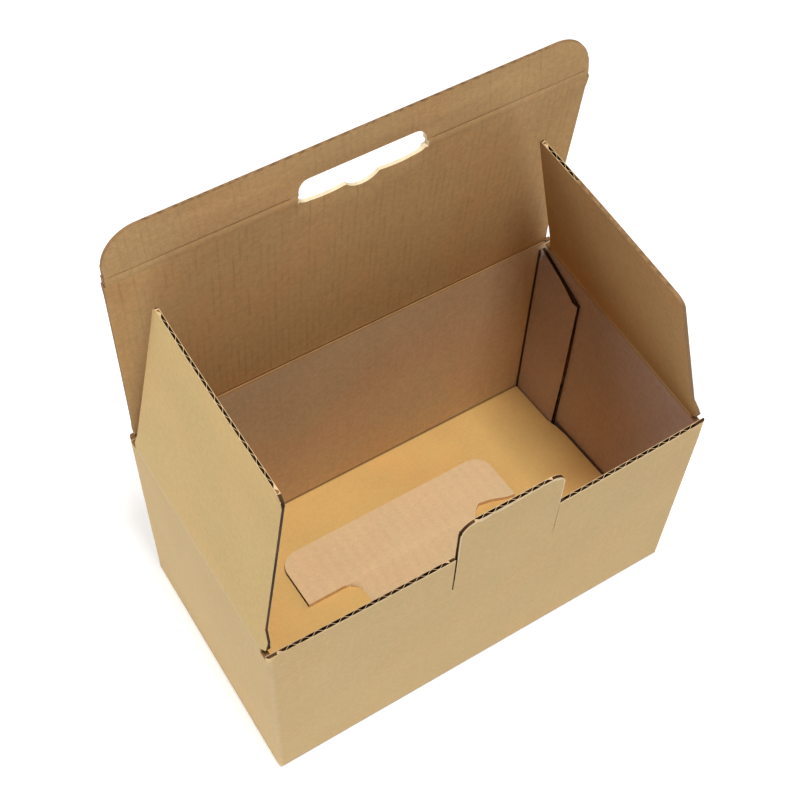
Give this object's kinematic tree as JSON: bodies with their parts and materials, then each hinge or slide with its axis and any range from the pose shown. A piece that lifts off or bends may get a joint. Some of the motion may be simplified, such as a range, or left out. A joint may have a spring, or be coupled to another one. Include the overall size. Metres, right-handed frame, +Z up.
{
  "type": "corrugated box",
  "caption": "Open die-cut corrugated box with standing dust flaps, hinged lid with tuck flap and hand hole, front lock tab and snap-lock bottom.",
  "frame": {"origin": "centre of the box's footprint, on the floor it stands on", "axes": "+X along the length to the right, +Y from the front wall to the wall that carries the lid, +Z up"},
  "size_m": [0.23, 0.129, 0.2732],
  "materials": {
    "body": "matte",
    "lid_panel": "matte",
    "tuck_flap": "matte",
    "left_dust_flap": "matte",
    "right_dust_flap": "matte"
  },
  "bodies": {
    "body": {"body": "body"},
    "lid_panel": {"lid_panel": "lid_panel"},
    "tuck_flap": {"tuck_flap": "tuck_flap"},
    "left_dust_flap": {"left_dust_flap": "left_dust_flap"},
    "right_dust_flap": {"right_dust_flap": "right_dust_flap"}
  },
  "joints": [
    {"name": "lid_hinge", "type": "hinge", "parent": "body", "child": "lid_panel", "pos_m": [0, 0.063, 0.13], "axis": [1, 0, 0], "range_deg": [-104.5, 4]},
    {"name": "tuck_hinge", "type": "hinge", "parent": "lid_panel", "child": "tuck_flap", "pos_m": [0, 0.05351, 0.25063], "axis": [1, 0, 0], "range_deg": [-15, 98]},
    {"name": "left_flap_hinge", "type": "hinge", "parent": "body", "child": "left_dust_flap", "pos_m": [-0.1135, 0, 0.128], "axis": [0, 1, 0], "range_deg": [-107, 82.5]},
    {"name": "right_flap_hinge", "type": "hinge", "parent": "body", "child": "right_dust_flap", "pos_m": [0.1135, 0, 0.128], "axis": [0, -1, 0], "range_deg": [-116.5, 73]}
  ]
}
